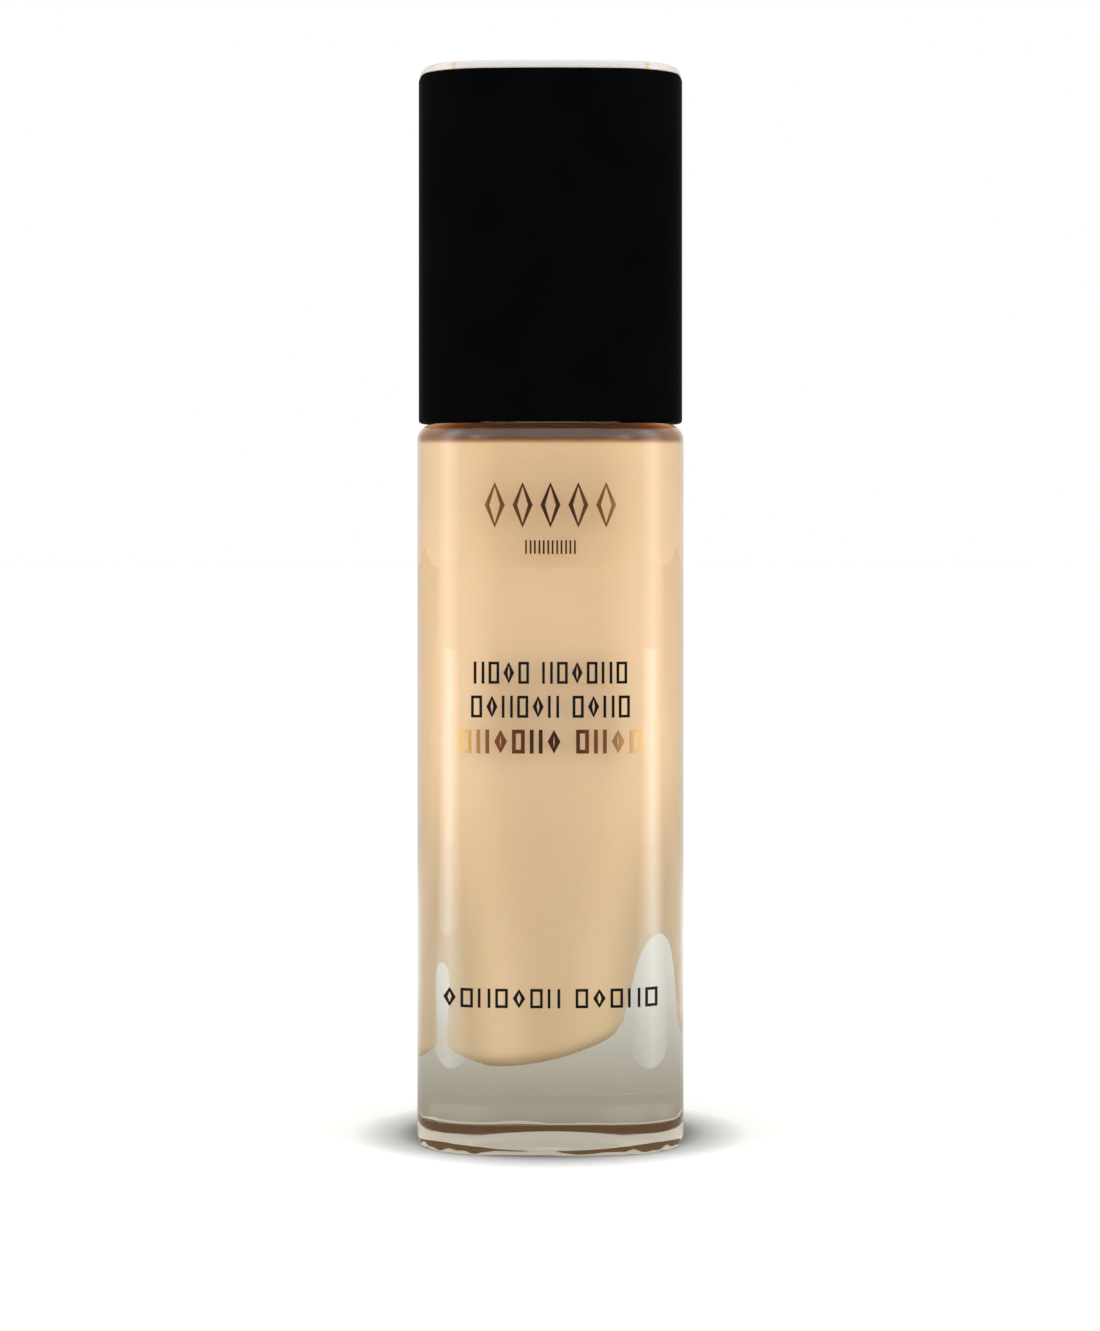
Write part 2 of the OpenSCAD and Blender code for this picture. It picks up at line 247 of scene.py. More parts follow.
def closed_outline(corners, steps=5):
    """Every corner of a closed (x, y, radius) outline rounded."""
    first = corners[0]
    second = corners[1]
    middle = ((first[0] + second[0]) / 2, (first[1] + second[1]) / 2, 0)
    loop = [middle] + list(corners[1:]) + [first, middle]
    return rounded(loop, steps)[:-1]


def install(piece, body, slot, material, *nodes):
    """Rides a finished piece on its body in place of CAD nodes."""
    piece.data.materials.append(material)
    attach(piece, body)
    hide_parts(*nodes)


# ---------------------------------------------------------------- materials

def new_material(name):
    material = bpy.data.materials.new(name)
    material.use_nodes = True
    nodes = material.node_tree.nodes
    return material, nodes, material.node_tree.links, nodes["Principled BSDF"]


def object_noise(nodes, links, scale, detail=4, stretch=(1, 1, 1)):
    """Noise in the object's own space. The scale is features per metre."""
    place = nodes.new("ShaderNodeTexCoord")
    mapping = nodes.new("ShaderNodeMapping")
    mapping.inputs["Scale"].default_value = stretch
    noise = nodes.new("ShaderNodeTexNoise")
    noise.inputs["Scale"].default_value = scale
    noise.inputs["Detail"].default_value = detail
    links.new(place.outputs["Object"], mapping.inputs["Vector"])
    links.new(mapping.outputs["Vector"], noise.inputs["Vector"])
    return noise.outputs["Fac"]


def ramp(nodes, links, factor, *stops):
    """A colour ramp of (position, colour) stops."""
    node = nodes.new("ShaderNodeValToRGB")
    elements = node.color_ramp.elements
    while len(elements) < len(stops):
        elements.new(0.5)
    for element, (position, colour) in zip(elements, stops):
        element.position = position
        element.color = (*colour, 1)
    links.new(factor, node.inputs["Fac"])
    return node.outputs["Color"]


def mixed(nodes, links, blend, factor, first, second):
    """Two colours blended. The factor and the second colour may be plain values."""
    node = nodes.new("ShaderNodeMixRGB")
    node.blend_type = blend
    for socket, value in zip(node.inputs, (factor, first, second)):
        if isinstance(value, bpy.types.NodeSocket):
            links.new(value, socket)
        else:
            socket.default_value = value
    return node.outputs["Color"]


def split_place(nodes, links, space="Object"):
    """The X, Y and Z outputs of the shaded point's place, in metres in the object's own space."""
    place = nodes.new("ShaderNodeTexCoord")
    split = nodes.new("ShaderNodeSeparateXYZ")
    links.new(place.outputs[space], split.inputs["Vector"])
    return split.outputs


def between(nodes, links, value, low, high):
    """0 to 1 as a value goes from low to high."""
    node = nodes.new("ShaderNodeMapRange")
    node.inputs["From Min"].default_value = low
    node.inputs["From Max"].default_value = high
    links.new(value, node.inputs["Value"])
    return node.outputs["Result"]


def object_height(nodes, links, low, high):
    """0 to 1 from one height to another, in millimetres above the object's origin."""
    return between(nodes, links, split_place(nodes, links)["Z"], low * MM, high * MM)


def math_node(nodes, links, operation, *values):
    """One sum on links and plain numbers."""
    node = nodes.new("ShaderNodeMath")
    node.operation = operation
    for socket, value in zip(node.inputs, values):
        if isinstance(value, bpy.types.NodeSocket):
            links.new(value, socket)
        else:
            socket.default_value = value
    return node.outputs["Value"]


def level(nodes, links, factor, low, high):
    """A factor of 0 to 1 mapped to low to high."""
    node = nodes.new("ShaderNodeMapRange")
    node.inputs["To Min"].default_value = low
    node.inputs["To Max"].default_value = high
    links.new(factor, node.inputs["Value"])
    return node.outputs["Result"]


def bump(nodes, links, shader, height, distance):
    """Relief of a depth in metres on a shader."""
    node = nodes.new("ShaderNodeBump")
    node.inputs["Distance"].default_value = distance
    node.inputs["Strength"].default_value = 1.0
    links.new(height, node.inputs["Height"])
    links.new(node.outputs["Normal"], shader.inputs["Normal"])


def moulded(name, dark, light, roughness, grain, depth, subsurface=0.0, ior=1.5):
    """Moulded plastic: faint colour drift, uneven gloss and a fine grain."""
    material, nodes, links, shader = new_material(name)
    drift = object_noise(nodes, links, 260, 3)
    fine = object_noise(nodes, links, grain, 5)
    links.new(ramp(nodes, links, drift, (0.3, dark), (0.7, light)), shader.inputs["Base Color"])
    links.new(level(nodes, links, fine, roughness - 0.06, roughness + 0.06), shader.inputs["Roughness"])
    shader.inputs["IOR"].default_value = ior
    bump(nodes, links, shader, fine, depth)
    if subsurface:
        shader.inputs["Subsurface Weight"].default_value = subsurface
        shader.inputs["Subsurface Radius"].default_value = (0.6, 0.55, 0.5)
        shader.inputs["Subsurface Scale"].default_value = 0.001
    return material


def metal(name, dark, light, roughness, stretch=(1, 1, 1), scratches=2500):
    """Bright metal with brushed or polished micro marks along one direction."""
    material, nodes, links, shader = new_material(name)
    marks = object_noise(nodes, links, scratches, 6, stretch)
    drift = object_noise(nodes, links, 300, 2)
    links.new(ramp(nodes, links, drift, (0.35, dark), (0.65, light)), shader.inputs["Base Color"])
    links.new(level(nodes, links, marks, roughness * 0.6, roughness * 1.5), shader.inputs["Roughness"])
    shader.inputs["Metallic"].default_value = 1
    bump(nodes, links, shader, marks, 0.000002)
    return material


def clear_solid(name, ior, tint, density, wave_scale, wave_depth):
    """Clear glass or acrylic with a faint body tint and a slightly wavy skin."""
    material, nodes, links, shader = new_material(name)
    shader.inputs["Base Color"].default_value = (1, 1, 1, 1)
    shader.inputs["Roughness"].default_value = 0
    shader.inputs["IOR"].default_value = ior
    shader.inputs["Transmission Weight"].default_value = 1
    waves = object_noise(nodes, links, wave_scale, 1, (1, 1, 0.35))
    bump(nodes, links, shader, waves, wave_depth)
    body = nodes.new("ShaderNodeVolumeAbsorption")
    body.inputs["Color"].default_value = (*tint, 1)
    body.inputs["Density"].default_value = density
    links.new(body.outputs["Volume"], nodes["Material Output"].inputs["Volume"])
    return material


def plate_material():
    """Milky acrylic, painted lighter and creamier along its lower edge as a painted highlight, with a
    painted gold glint near both ends of its rim in place of the foil's reflection.
    """
    material, nodes, links, shader = new_material("plate_acrylic")
    height = object_height(nodes, links, CAP_TOP, PLATE_TOP)
    # Painted highlight: the plate is lighter and creamier at its lower edge, where that edge faces out and
    # catches more light.
    milk = ramp(nodes, links, height,
                (0.0, (0.68, 0.62, 0.55)), (0.3, (0.6, 0.56, 0.545)), (1.0, (0.61, 0.57, 0.555)))
    rim = ramp(nodes, links, height, (0.85, (1, 1, 1)), (0.95, (0, 0, 0)))
    # Painted glint: a gold band on the plate's sides where the foil's edge would show through as a
    # reflection; nothing gold is there.
    glint_w = 0.8
    aside = math_node(nodes, links, "ABSOLUTE", split_place(nodes, links)["X"])
    across = between(nodes, links, aside, (FOIL_HALF - glint_w) * MM, FOIL_HALF * MM)
    glint = ramp(nodes, links, across,
                 (0.0, (0, 0, 0)), (0.4, (1, 1, 1)), (0.6, (1, 1, 1)), (1.0, (0, 0, 0)))
    painted_glint_mask = mixed(nodes, links, "MULTIPLY", 1.0, rim, glint)
    gold = (0.6, 0.42, 0.2, 1)
    links.new(mixed(nodes, links, "MIX", painted_glint_mask, milk, gold), shader.inputs["Base Color"])
    cloud = object_noise(nodes, links, 120, 2)
    links.new(level(nodes, links, cloud, 0.1, 0.2), shader.inputs["Roughness"])
    shader.inputs["IOR"].default_value = 1.49
    shader.inputs["Transmission Weight"].default_value = 0.35
    shader.inputs["Subsurface Weight"].default_value = 0.4
    shader.inputs["Subsurface Radius"].default_value = (1.0, 0.9, 0.85)
    shader.inputs["Subsurface Scale"].default_value = 0.002
    return material


def foundation_material():
    """Opaque skin-toned cream with faint filling streaks, painted lighter towards its bottom where less
    light reaches it, and painted brown shade on its top where the cap shades it.
    """
    material, nodes, links, shader = new_material("foundation_cream")
    # Painted light: the cream is lighter low down, where less light reaches it through the glass.
    cream = ramp(nodes, links, object_height(nodes, links, FLOOR_Z, ROOF_Z),
                 (0.0, (0.98, 0.74, 0.45)), (0.25, (0.94, 0.69, 0.41)), (1.0, (0.84, 0.585, 0.32)))
    streaks = ramp(nodes, links, object_noise(nodes, links, 110, 3, (1, 1, 0.25)),
                   (0.3, (0.96, 0.95, 0.93)), (0.7, (1, 1, 1)))
    # Painted shade: a brown band on the fill's top, where the cap keeps the light off.
    painted_shade_band = object_height(nodes, links, ROOF_Z - 0.5, ROOF_Z - 0.15)
    painted_shade_brown = (0.55, 0.2, 0.06, 1)
    streaked = mixed(nodes, links, "MULTIPLY", 1.0, cream, streaks)
    cream_with_painted_shade = mixed(nodes, links, "MIX", painted_shade_band, streaked, painted_shade_brown)
    links.new(cream_with_painted_shade, shader.inputs["Base Color"])
    shader.inputs["Roughness"].default_value = 0.4
    shader.inputs["Subsurface Weight"].default_value = 0.25
    shader.inputs["Subsurface Radius"].default_value = (1.0, 0.6, 0.35)
    shader.inputs["Subsurface Scale"].default_value = 0.0012
    return material


def gold_ink_material():
    """Foil print that runs from gold at both ends of a row to dark brown in its middle."""
    material, nodes, links, shader = new_material("gold_brown_foil")
    row_half = 10.5
    across = between(nodes, links, split_place(nodes, links)["X"], -row_half * MM, row_half * MM)
    gold = (0.62, 0.40, 0.15)
    brown = (0.035, 0.012, 0.006)
    mid = (0.15, 0.05, 0.015)
    colour = ramp(nodes, links, across,
                  (0.0, gold), (0.18, mid), (0.42, brown), (0.6, brown), (0.8, mid), (1.0, gold))
    links.new(colour, shader.inputs["Base Color"])
    shader.inputs["Metallic"].default_value = 0.55
    shader.inputs["IOR"].default_value = 1.2
    speckle = object_noise(nodes, links, 14000, 4)
    links.new(level(nodes, links, speckle, 0.28, 0.5), shader.inputs["Roughness"])
    bump(nodes, links, shader, speckle, 0.000003)
    return material


def soft_black_material():
    """Matte soft-touch black with a very fine even grain and a faint sheen."""
    material, nodes, links, shader = new_material("soft_touch_black")
    grain = object_noise(nodes, links, 16000, 6)
    drift = object_noise(nodes, links, 140, 2)
    black = ramp(nodes, links, drift, (0.3, (0.001, 0.001, 0.0011)), (0.7, (0.0015, 0.0015, 0.0017)))
    links.new(black, shader.inputs["Base Color"])
    links.new(level(nodes, links, grain, 0.5, 0.62), shader.inputs["Roughness"])
    shader.inputs["IOR"].default_value = 1.03
    bump(nodes, links, shader, grain, 0.000003)
    return material


GLASS = clear_solid("bottle_glass", ior=1.52, tint=(0.49, 0.45, 0.30), density=26,
                    wave_scale=90, wave_depth=0.00002)
ACRYLIC = plate_material()
CREAM = foundation_material()
GOLD_INK = gold_ink_material()
BLACK_INK = moulded("screen_ink", (0.004, 0.003, 0.003), (0.007, 0.005, 0.005),
                    roughness=0.6, grain=20000, depth=0.000003, ior=1.15)
FOAM = moulded("gasket_foam", (0.75, 0.75, 0.72), (0.85, 0.85, 0.82),
               roughness=0.7, grain=5000, depth=0.00002)
NATURAL = moulded("natural_plastic", (0.74, 0.74, 0.70), (0.82, 0.82, 0.79),
                  roughness=0.38, grain=8000, depth=0.000003, subsurface=0.4)
TUBE_PLASTIC = moulded("tube_plastic", (0.8, 0.8, 0.77), (0.88, 0.88, 0.86),
                       roughness=0.25, grain=6000, depth=0.000002, subsurface=0.5)
WAXY = moulded("piston_plastic", (0.68, 0.66, 0.6), (0.76, 0.74, 0.69),
               roughness=0.42, grain=7000, depth=0.000003, subsurface=0.4)
STEEL = metal("spring_steel", (0.5, 0.5, 0.52), (0.64, 0.64, 0.66), roughness=0.22)
GOLD = metal("gold_anodised", (0.72, 0.49, 0.24), (0.82, 0.58, 0.31),
             roughness=0.16, stretch=(1, 1, 12), scratches=1500)
FOIL = metal("hot_stamped_foil", (0.75, 0.55, 0.3), (0.86, 0.66, 0.4), roughness=0.3, scratches=6000)
COLLAR_BLACK = moulded("collar_plastic", (0.012, 0.012, 0.013), (0.02, 0.02, 0.021),
                       roughness=0.42, grain=7000, depth=0.000004)
LINER_BLACK = moulded("liner_plastic", (0.012, 0.012, 0.012), (0.022, 0.022, 0.022),
                      roughness=0.48, grain=6000, depth=0.000006)
GLOSS_BLACK = moulded("actuator_plastic", (0.008, 0.008, 0.009), (0.013, 0.013, 0.014),
                      roughness=0.22, grain=3000, depth=0.000001)
SOFT_BLACK = soft_black_material()


# ---------------------------------------------------------------- glass bottle and its contents

def slump(ring):
    """Leans the lower cavity, with its floor lowest on the left, fading out towards its straight walls.

    Its right side draws in further, like a bowl.
    """
    leaned = []
    for x, y, z in ring:
        weight = clamped((FLARE_Z - z) / (FLARE_Z - FLOOR_Z)) ** 2
        lift = FLOOR_SLANT * x + FLOOR_CURVE * x * x
        z += lift * weight
        right = eased(clamped((x - PINCH_START) / PINCH_SPAN))
        pinch = BOWL_PINCH * max(0, (BOWL_TOP - z) / BOWL_DEPTH) ** 1.5 * right
        leaned.append((x * (1 - pinch) + WAIST_SHIFT * weight, y * (1 - pinch), z))
    return leaned


def cavity_rings(grow):
    """Cavity from its roof down to its floor, grown outwards by a little."""
    def ring(spread, d, z):
        return slump(soft_ring(spread, d + grow, z))

    roof_r = 0.7
    floor_r = 1.8
    rings = [ring(CAVITY_SPREAD, d, ROOF_Z + grow) for d in (3.5, 4.8, 6.2)]
    for d, z in arc(CAVITY_R - roof_r, ROOF_Z - roof_r, roof_r, roof_r + grow, 90, 0):
        rings.append(ring(CAVITY_SPREAD, d, z))
    steps = 30
    for i in range(steps + 1):
        t = 1 - i / steps
        widening = (1 - math.cos(math.pi * t)) / 2
        spread = WAIST_SPREAD + (CAVITY_SPREAD - WAIST_SPREAD) * widening
        rings.append(ring(spread, CAVITY_R, WAIST_Z + (FLARE_Z - WAIST_Z) * t))
    for d, z in arc(CAVITY_R - floor_r, FLOOR_Z + floor_r, floor_r, floor_r + grow, 0, -90):
        rings.append(ring(WAIST_SPREAD, d, z))
    rings += [ring(WAIST_SPREAD, d, FLOOR_Z - grow) for d in (3, 1.5, 0.4)]
    return rings


def thread_height(angle, z):
    """Height of the thread ridge on the neck at one angle and level."""
    best = 0
    fade_rate = 9
    for turn in range(int(THREAD_TURNS) + 2):
        along = angle / (2 * math.pi) + turn
        if along > THREAD_TURNS:
            continue
        fade = min(1, along * fade_rate, (THREAD_TURNS - along) * fade_rate)
        gap = abs(z - THREAD_START - THREAD_PITCH * along)
        best = max(best, fade * eased(clamped((RIDGE_HALF - gap) / FLANK_W)))
    return best * THREAD_DEPTH


def neck_rings():
    """Neck from its root to just under its rim, with the thread standing out of it."""
    steps = 110
    low = SHOULDER_Z + 0.7
    high = NECK_TOP - 0.6
    rings = []
    for i in range(steps + 1):
        z = low + (high - low) * i / steps
        ring = []
        for a in RING_ANGLES:
            r = NECK_R + thread_height(a % (2 * math.pi), z)
            ring.append((r * math.cos(a), r * math.sin(a), z))
        rings.append(ring)
    return rings


def heel_ring(angle):
    """One ring of the heel, whose rounding swells and shrinks a little round the bottle."""
    a = math.radians(angle)
    ring = []
    for k in range(len(RING_ANGLES)):
        p = 2 * math.pi * k / len(RING_ANGLES)
        swell = sum(share * math.sin(count * p + phase) for share, count, phase in HEEL_WAVES)
        r = HEEL_R * (1 + swell)
        ring.append(soft_ring(SPREAD, CORNER_R - r + r * math.cos(a), r + r * math.sin(a))[k])
    return ring


def make_bottle():
    """Glass from the middle of the push-up, up its outside and over the rim, and down the cavity."""
    def body(d, z):
        return soft_ring(SPREAD, d, z)

    def quarter_turn(r, z, size, start):
        return [round_ring(*point) for point in arc(r, z, size, size, start, start + 90, 5)]

    root_r = 0.6
    rim_r = 0.5
    mouth_r = 0.4
    rings = []
    for r in (1.5, 3, 4.5, 6, 7.2, 8.2, 8.8):
        rings.append(round_ring(r, PUSH_UP_H * (1 - (r / PUSH_UP_R) ** 2)))
    rings.append(round_ring(PUSH_UP_R + 0.2, 0))
    rings.append(mixed_ring(round_ring(PUSH_UP_R + 0.6, 0), body(3.6, 0), 0.5))
    rings += [body(d, 0) for d in (4.6, CORNER_R - 2 * HEEL_R - 0.4)]
    rings += [heel_ring(angle) for angle in range(-90, 1, 10)]
    rings += [body(CORNER_R, z) for z in (2, 10, 30, 50, 70, SHOULDER_Z - SHOULDER_R - 0.6)]
    rings += [body(d, z) for d, z in
              arc(CORNER_R - SHOULDER_R, SHOULDER_Z - SHOULDER_R, SHOULDER_R, SHOULDER_R, 0, 90)]
    rings += [body(d, SHOULDER_Z) for d in (5.6, 4.6)]
    rings.append(mixed_ring(body(3.6, SHOULDER_Z), round_ring(NECK_R + 1.4, SHOULDER_Z), 0.5))
    rings += [round_ring(*point) for point in
              arc(NECK_R + root_r, SHOULDER_Z + root_r, root_r, root_r, -90, -180, 5)]
    rings += neck_rings()
    rings += quarter_turn(NECK_R - rim_r, NECK_TOP - rim_r, rim_r, 0)
    rings += quarter_turn(BORE_R + rim_r, NECK_TOP - rim_r, rim_r, 90)
    rings.append(round_ring(BORE_R, ROOF_Z + 2 * mouth_r))
    rings += quarter_turn(BORE_R + mouth_r, ROOF_Z + mouth_r, mouth_r, 180)
    rings += cavity_rings(0)
    return skin("bottle_glass", rings)


def make_foundation():
    """Fill that leaves room for the dip tube and pump housing, and reaches a little into the glass."""
    wet = 0.04
    gap = 0.1
    under = 0.2
    tube_r = TUBE_HIGH.x / MM + gap
    tube_z = TUBE_LOW.z / MM - 0.6
    tail_r = TAIL_R + gap
    tail_z = HOUSING_LOW.z / MM - under
    housing_r = HOUSING_R + gap
    housing_z = HOUSING_HIGH.z / MM - TAIL_DEPTH - under
    top = ROOF_Z + wet
    bore = [(tube_r * 0.5, tube_z), (tube_r, tube_z), (tube_r, tail_z), (tail_r, tail_z),
            (tail_r, housing_z), (housing_r, housing_z), (housing_r, top - 0.1),
            (housing_r + 0.1, top), (5.6, top)]
    rings = [round_ring(r, z) for r, z in bore]
    rings += cavity_rings(wet)
    return skin("foundation_cream", rings)


# ---------------------------------------------------------------- overcap

def make_cap_shell():
    """Shell from the foil's pocket in its top, down its outside, and up its inside."""
    reach = CAP_HALF - SPREAD
    inner = reach - CAP_WALL
    ceiling = CAP_TOP - CAP_WALL
    foil_floor = FOIL_LOW.z / MM
    foil_reach = 5
    foil_spread = FOIL_HALF - foil_reach
    rings = [soft_ring(foil_spread, d, foil_floor) for d in (1, 4, foil_reach + 0.05)]
    rings += [soft_ring(foil_spread, foil_reach + grow, CAP_TOP - 0.05 + grow / 2) for grow in (0.05, 0.1)]
    outline = rounded([(reach - 1.2, CAP_TOP, 0), (reach, CAP_TOP, 0.3), (reach, CAP_BASE + 20, 0),
                       (reach, CAP_BASE, 0.35), (inner, CAP_BASE, 0.35), (inner, CAP_BASE + 20, 0),
                       (inner, ceiling, 1), (inner - 3, ceiling, 0), (0.5, ceiling, 0)])
    rings += [soft_ring(SPREAD, d, z) for d, z in outline]
    return skin("cap_shell_soft_black", rings)


def make_cap_plate():
    """Top plate with a softly rounded upper edge."""
    reach = PLATE_HALF - SPREAD
    edge = 1.2
    lip = 0.15
    height = PLATE_TOP - CAP_TOP
    outline = [(0.5, CAP_TOP), (reach - 1, CAP_TOP), (reach - 0.06, CAP_TOP), (reach, CAP_TOP + 0.06)]
    outline += arc(reach - edge, CAP_TOP + lip, edge, height - lip, 0, 90, 14)
    outline += [(reach - edge - 0.8, PLATE_TOP), (0.5, PLATE_TOP)]
    return skin("cap_plate_acrylic", [soft_ring(SPREAD, d, z) for d, z in outline])


def make_cap_liner():
    """Sleeve that grips the collar, with a square flange and four ribs out to the shell."""
    base = LINER_LOW.z / MM
    top = LINER_HIGH.z / MM
    bore = SLEEVE_R + 0.05
    outer = bore + 0.8
    half = LINER_HIGH.x / MM
    reach = half - SPREAD
    flange = base + 1.2
    rim = rounded([(reach - 1.2, base, 0), (reach, base, 0.2),
                   (reach, flange, 0.2), (reach - 1.2, flange, 0)])
    tube = rounded([(outer + 0.5, flange, 0), (outer, flange, 0.3), (outer, top, 0.3),
                    (bore, top, 0.3), (bore, base, 0.3), (outer + 0.5, base, 0)])
    rings = [soft_ring(SPREAD, d, z) for d, z in rim]
    rings += [round_ring(r, z) for r, z in tube]
    liner = skin("cap_liner_black", rings, wrap=True)
    for turn in range(4):
        add_rib(liner, outer - 0.4, half - 0.05, base + 0.6, top - 2, turn * math.pi / 2)
    return liner


def add_rib(target, start, end, low, high, turn):
    """One upright stiffening rib with softened edges, merged into the target's mesh."""
    thickness = 1.2
    edge = 0.15
    bm = bmesh.new()
    bm.from_mesh(target.data)
    made = bmesh.ops.create_cube(bm, size=1)["verts"]
    size = Vector((end - start, thickness, high - low)) * MM
    middle = Vector(((start + end) / 2, 0, (low + high) / 2)) * MM
    bmesh.ops.scale(bm, vec=size, verts=made)
    bmesh.ops.translate(bm, vec=middle, verts=made)
    bmesh.ops.rotate(bm, matrix=Matrix.Rotation(turn, 3, "Z"), verts=made)
    edges = list({edge for vertex in made for edge in vertex.link_edges})
    bmesh.ops.bevel(bm, geom=edges, offset=edge * MM, segments=2, affect="EDGES", profile=0.5)
    bm.to_mesh(target.data)
    bm.free()


# ---------------------------------------------------------------- pump parts that show

def make_collar_sleeve():
    """Pressed metal skirt and deck over the collar, with a tower round the actuator."""
    wall = 0.32
    tower_h = 4.03
    tower_in = PRESS_R + 0.3
    tower_out = tower_in + 0.4
    deck = TOWER_TOP - tower_h
    corners = [(SLEEVE_R - wall, SLEEVE_BASE, 0.1), (SLEEVE_R, SLEEVE_BASE, 0.12), (SLEEVE_R, deck, 0.5),
               (tower_out, deck, 0.35), (tower_out, TOWER_TOP, 0.15), (tower_in, TOWER_TOP, 0.15),
               (tower_in, deck - wall, 0.1), (SLEEVE_R - wall, deck - wall, 0.2)]
    return lathe("collar_sleeve_gold", closed_outline(corners))


def make_actuator():
    """Head with a dished top, hollow below round the socket that sits on the stem."""
    stem_r = 1.94
    socket_r = 3
    dish_r = 5.4
    dish = 0.6
    dish_steps = 8
    edge = 0.3
    skirt = PRESS_R - 1
    roof = PRESS_BASE + 4.4
    socket_top = PRESS_BASE + 6.2
    outline = rounded([(stem_r, PRESS_BASE, 0), (socket_r, PRESS_BASE, 0.25), (socket_r, roof, edge),
                       (skirt, roof, edge), (skirt, PRESS_BASE, edge), (PRESS_R, PRESS_BASE, edge),
                       (PRESS_R, PRESS_TOP, 0.8), (dish_r, PRESS_TOP, edge),
                       (dish_r - 0.1, PRESS_TOP - 0.02, 0)])
    for i in range(1, dish_steps):
        share = 1 - i / dish_steps
        outline.append((dish_r * share, PRESS_TOP - dish * (1 - share ** 2)))
    outline += [(0.02, PRESS_TOP - dish), (0.02, socket_top), (stem_r - 0.2, socket_top)]
    return lathe("actuator_black", outline)


def make_nozzle():
    """Nozzle tip that points at -Y, with a rounded rim and a drilled outlet."""
    start = -NOZZLE_HIGH.y / MM
    tip = -NOZZLE_LOW.y / MM
    outlet_r = 0.6
    outline = closed_outline([(outlet_r, start, 0.05), (NOZZLE_R, start, 0.1), (NOZZLE_R, tip, 0.4),
                              (1.0, tip, 0.1), (outlet_r, tip - 0.3, 0.1)])
    nozzle = lathe("nozzle_tip_gold", outline, 64)
    forwards = Matrix.Rotation(math.pi / 2, 4, "X")
    nozzle.data.transform(Matrix.Translation((0, 0, NOZZLE_Z * MM)) @ forwards)
    return nozzle


def make_spring():
    """Compression spring of round wire with a closed turn at each end."""
    wire = 0.25
    coil = SPRING_HIGH.x / MM - wire
    low = SPRING_LOW.z / MM + wire
    high = SPRING_HIGH.z / MM - wire
    turns = 7
    end_rise = 0.56
    steps = turns * 36
    sides = 12
    rings = []
    for i in range(steps + 1):
        turn = turns * i / steps
        a = 2 * math.pi * turn
        open_part = clamped((turn - 1) / (turns - 2))
        ends = min(1, turn) + max(0, turn - turns + 1)
        z = low + end_rise * ends + (high - low - 2 * end_rise) * open_part
        ring = []
        for k in range(sides):
            b = 2 * math.pi * k / sides
            r = coil + wire * math.cos(b)
            ring.append((r * math.cos(a), r * math.sin(a), z + wire * math.sin(b)))
        rings.append(ring)
    return skin("main_spring_steel", rings)


install(make_bottle(), "bottle", "clear_glass", GLASS, "glass_bottle")
install(make_foundation(), "bottle", "foundation", CREAM, "foundation_fill")
install(make_cap_shell(), "cap", "soft_black", SOFT_BLACK, "cap_shell")
install(make_cap_plate(), "cap", "clear_acrylic", ACRYLIC, "cap_top_plate")
install(make_cap_liner(), "cap", "liner_plastic", LINER_BLACK, "cap_liner")
install(make_collar_sleeve(), "collar", "gold_metal", GOLD, "collar_sleeve")
install(make_actuator(), "actuator", "actuator_plastic", GLOSS_BLACK, "actuator")
install(make_nozzle(), "actuator", "gold_metal", GOLD, "nozzle_insert")

spring = make_spring()
install(spring, "pump_core", "steel", STEEL, "main_spring")
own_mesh(spring)

# CAD pieces that stay as they are, with a new material each
KEPT_NODES = {
    "gold_print": GOLD_INK,
    "black_print": BLACK_INK,
    "neck_gasket": FOAM,
    "pump_housing": NATURAL,
    "dip_tube": TUBE_PLASTIC,
    "inlet_ball": STEEL,
    "piston": WAXY,
    "valve_rod": NATURAL,
    "stem": NATURAL,
    "chaplet": NATURAL,
    "screw_collar": COLLAR_BLACK,
    "cap_foil": FOIL,
}
for node_name, material in KEPT_NODES.items():
    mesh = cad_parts[node_name].data
    mesh.materials.clear()
    mesh.materials.append(material)


# ---------------------------------------------------------------- floor, light and camera

def make_floor():
    """White floor to the camera, with a painted soft contact shadow.

    The glass sees it greyer, with painted warm shade darkest near the bottle, and a painted warm glow just
    round the bottle's foot, hidden from the camera, that shines through the glass.
    """
    bpy.ops.mesh.primitive_plane_add(size=6)
    floor = bpy.context.object
    floor.name = "floor"
    material, nodes, links, shader = new_material("floor_white")
    place = nodes.new("ShaderNodeTexCoord")
    distance = nodes.new("ShaderNodeVectorMath")
    distance.operation = "LENGTH"
    links.new(place.outputs["Object"], distance.inputs[0])
    away = between(nodes, links, distance.outputs["Value"], 0, 0.25)
    behind = between(nodes, links, split_place(nodes, links)["Y"], 0.1, 0.3)
    # Painted shade: seen through the glass, the floor is darker and warmer near the bottle, as if shaded by
    # it and lit by warm bounce from the fill.
    around = ramp(nodes, links, away,
                  (0.14, (0.3, 0.285, 0.245)), (0.5, (0.52, 0.52, 0.51)), (1.0, (0.8, 0.8, 0.79)))
    seen = mixed(nodes, links, "MIX", behind, around, (0.4, 0.4, 0.39, 1))
    # Painted contact shadow: the floor is darker round the bottle's foot, for camera rays only.
    shown = ramp(nodes, links, away,
                 (0.06, (0.15, 0.15, 0.15)), (0.07, (0.38, 0.38, 0.38)), (0.09, (0.66, 0.66, 0.66)))
    to_camera = nodes.new("ShaderNodeLightPath").outputs["Is Camera Ray"]
    links.new(mixed(nodes, links, "MIX", to_camera, seen, shown), shader.inputs["Base Color"])
    # Painted light: the floor glows warm just round the bottle's foot, though it is no lamp; the camera
    # doesn't see it.
    glow = ramp(nodes, links, away, (0.064, (0.1, 0.05, 0.02)), (0.072, (0, 0, 0)))
    links.new(mixed(nodes, links, "MIX", to_camera, glow, (0, 0, 0, 1)), shader.inputs["Emission Color"])
    shader.inputs["Emission Strength"].default_value = 1
    shader.inputs["Roughness"].default_value = 0.9
    shader.inputs["Specular IOR Level"].default_value = 0.1
    floor.data.materials.append(material)


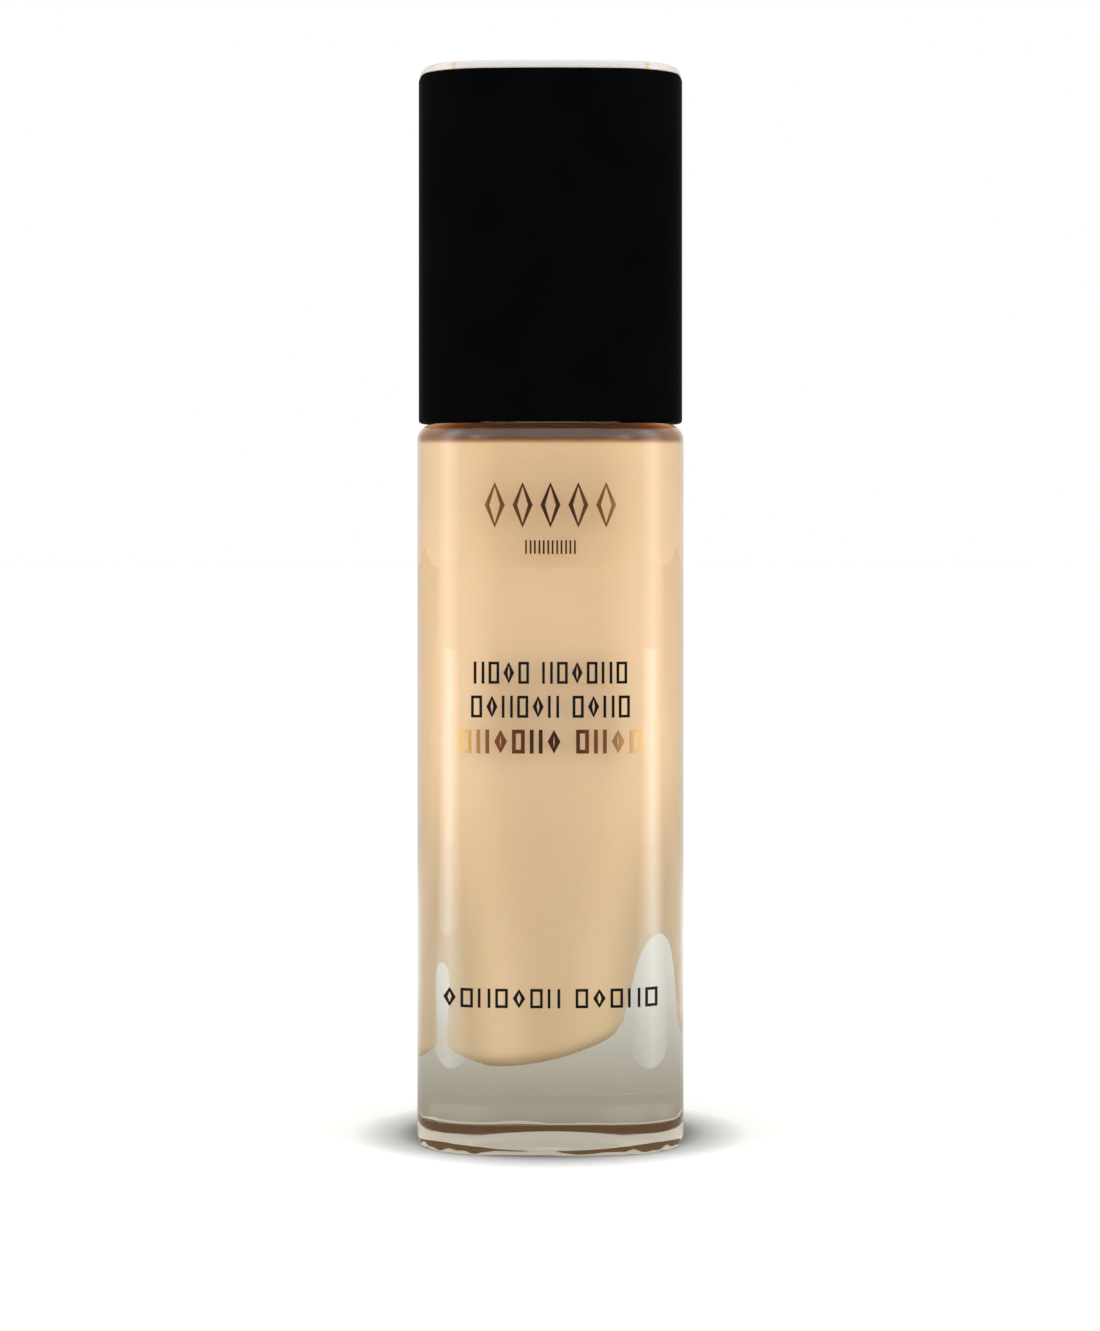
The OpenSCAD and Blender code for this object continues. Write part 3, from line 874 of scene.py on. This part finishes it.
def softbox(name, place, target, width, height, power):
    """Area light that is brightest along its middle and fades out to its two sides."""
    light = bpy.data.lights.new(name, "AREA")
    light.shape = "RECTANGLE"
    light.size = width
    light.size_y = height
    light.energy = power
    light.use_nodes = True
    nodes = light.node_tree.nodes
    links = light.node_tree.links
    across = nodes.new("ShaderNodeNewGeometry")
    split = nodes.new("ShaderNodeSeparateXYZ")
    links.new(across.outputs["Parametric"], split.inputs["Vector"])
    fade = ramp(nodes, links, split.outputs["X"], (0.0, (0, 0, 0)), (0.5, (1, 1, 1)), (1.0, (0, 0, 0)))
    links.new(fade, nodes["Emission"].inputs["Strength"])
    lamp = bpy.data.objects.new(name, light)
    lamp.location = place
    lamp.rotation_euler = (Vector(target) - Vector(place)).to_track_quat("-Z", "Y").to_euler()
    lamp.visible_camera = False
    bpy.context.scene.collection.objects.link(lamp)


def make_world():
    """White to the camera, and a studio to the object.

    The object sees an even sky over a dim front, two bright soft sides and a taller grey back wall.
    """
    world = bpy.data.worlds.new("studio")
    bpy.context.scene.world = world
    world.use_nodes = True
    nodes = world.node_tree.nodes
    links = world.node_tree.links
    nodes.clear()

    front = (0.2, 0.19, 0.18)
    back_rise = 0.4
    place = split_place(nodes, links, "Generated")
    towards_camera = math_node(nodes, links, "MULTIPLY", place["Y"], -1.0)
    azimuth = math_node(nodes, links, "ARCTAN2", place["X"], towards_camera)
    half_turns = math_node(nodes, links, "DIVIDE", math_node(nodes, links, "ABSOLUTE", azimuth), math.pi)
    room = ramp(nodes, links, half_turns,
                (0.0, front), (0.2, front), (0.3, (0.3, 0.3, 0.3)), (0.4, (0.36, 0.36, 0.36)),
                (0.55, (0.4, 0.4, 0.4)), (0.65, (0.3, 0.3, 0.29)), (0.8, (0.2, 0.19, 0.175)),
                (1.0, (0.18, 0.17, 0.155)))
    behind = math_node(nodes, links, "MAXIMUM", place["Y"], 0.0)
    wall = math_node(nodes, links, "MULTIPLY", behind, back_rise)
    above = math_node(nodes, links, "SUBTRACT", place["Z"], wall)
    sky = mixed(nodes, links, "MIX", between(nodes, links, above, 0.2, 0.36), room, (0.42, 0.42, 0.42, 1))
    room_light = nodes.new("ShaderNodeBackground")
    room_light.inputs["Strength"].default_value = 4
    links.new(sky, room_light.inputs["Color"])
    white = nodes.new("ShaderNodeBackground")
    white.inputs["Color"].default_value = (1, 1, 1, 1)
    path = nodes.new("ShaderNodeLightPath")
    mix = nodes.new("ShaderNodeMixShader")
    links.new(path.outputs["Is Camera Ray"], mix.inputs["Fac"])
    links.new(room_light.outputs["Background"], mix.inputs[1])
    links.new(white.outputs["Background"], mix.inputs[2])
    output = nodes.new("ShaderNodeOutputWorld")
    links.new(mix.outputs["Shader"], output.inputs["Surface"])


def make_camera():
    """Level camera at upper body height; a small shift frames the whole bottle."""
    distance = 0.4
    aside = -0.00005
    eye = 0.0728
    view_middle = 0.0535
    view_height = 0.145
    data = bpy.data.cameras.new("camera")
    data.sensor_fit = "AUTO"
    data.sensor_width = 36
    data.lens = data.sensor_width * distance / view_height
    data.shift_y = (view_middle - eye) / view_height
    data.clip_start = 0.01
    camera = bpy.data.objects.new("camera", data)
    camera.location = (aside, -BODY_HALF * MM - distance, eye)
    camera.rotation_euler = (math.pi / 2, 0, 0)
    bpy.context.scene.collection.objects.link(camera)
    bpy.context.scene.camera = camera


make_floor()
make_world()
for side in (-1, 1):
    softbox("softbox_side", place=(side * 0.18, -0.065, 0.13), target=(0, -0.01, 0.1),
            width=0.16, height=0.28, power=0.38)
    softbox("softbox_low", place=(side * 0.11, -0.05, 0.02), target=(0, 0, 0.3),
            width=0.1, height=0.14, power=0.13)
    softbox("softbox_front", place=(side * 0.3, -0.65, 0.3), target=(0, 0, 0.06),
            width=0.3, height=0.3, power=0.8)
make_camera()
bpy.context.scene.view_settings.view_transform = "Standard"
